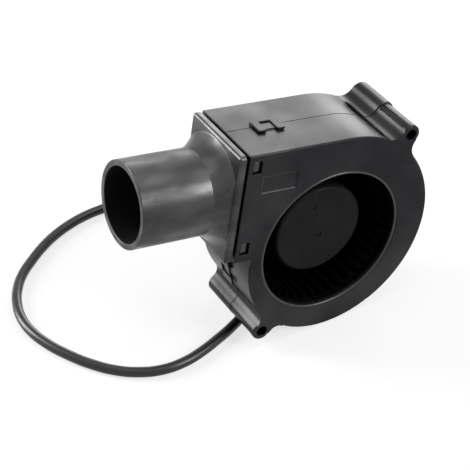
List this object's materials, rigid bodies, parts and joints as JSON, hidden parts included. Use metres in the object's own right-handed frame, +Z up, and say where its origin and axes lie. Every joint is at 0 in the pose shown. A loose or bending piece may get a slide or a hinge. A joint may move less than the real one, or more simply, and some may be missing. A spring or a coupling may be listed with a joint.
{
  "type": "barbecue blower",
  "caption": "Small black centrifugal blower for charcoal: snail-shaped clip-together case, bladed impeller behind a round inlet, screw ears, clip-on round nozzle and a lead with barrel plug.",
  "frame": {"origin": "middle of the fan's box on the floor, cord left out; the case's rim and the lead under the lower ear stand on the floor", "axes": "-Y is the front with the air inlet, -X the side with the nozzle, +Z up"},
  "size_m": [0.1452, 0.1, 0.0808],
  "materials": {
    "black_plastic": "satin moulded black",
    "impeller_plastic": "satin moulded black",
    "yoke_steel": "drawn steel cup",
    "ferrite": "matte dark grey",
    "bearing_steel": "polished",
    "shaft_steel": "ground",
    "brass": "turned",
    "spring_steel": "blackened",
    "core_steel": "stamped laminations",
    "insulator": "moulded natural",
    "copper": "enamelled copper wire",
    "board": "green solder resist",
    "chip": "moulded black",
    "capacitor": "dipped tan",
    "wire": "red insulation",
    "cord": "satin black sheath",
    "plug_plastic": "moulded black",
    "plated": "nickel plated"
  },
  "bodies": {
    "housing": {"front_cover": "black_plastic", "rear_housing": "black_plastic", "air_nozzle": "black_plastic", "bearing_tube": "brass", "bearing_outer_rings": "bearing_steel", "stator_core": "core_steel", "front_insulator": "insulator", "rear_insulator": "insulator", "stator_coils": "copper", "circuit_board": "board", "driver_chip": "chip", "hall_sensor": "chip", "board_capacitor": "capacitor", "lead_wires": "wire", "cord_gland": "plug_plastic", "power_cord": "cord", "cord_coil": "cord", "cord_tie": "plug_plastic", "plug_body": "plug_plastic", "plug_barrel": "plated", "plug_insulator": "chip"},
    "rotor": {"impeller": "impeller_plastic", "rotor_yoke": "yoke_steel", "magnet_ring": "ferrite", "rotor_shaft": "shaft_steel", "bearing_inner_rings": "bearing_steel", "bearing_balls": "bearing_steel", "thrust_washer": "brass", "retaining_clip": "spring_steel"}
  },
  "joints": [
    {"name": "impeller_spin", "type": "hinge", "parent": "housing", "child": "rotor", "pos_m": [0.01601, 0, 0.03567], "axis": [0, -1, 0], "continuous": true}
  ]
}
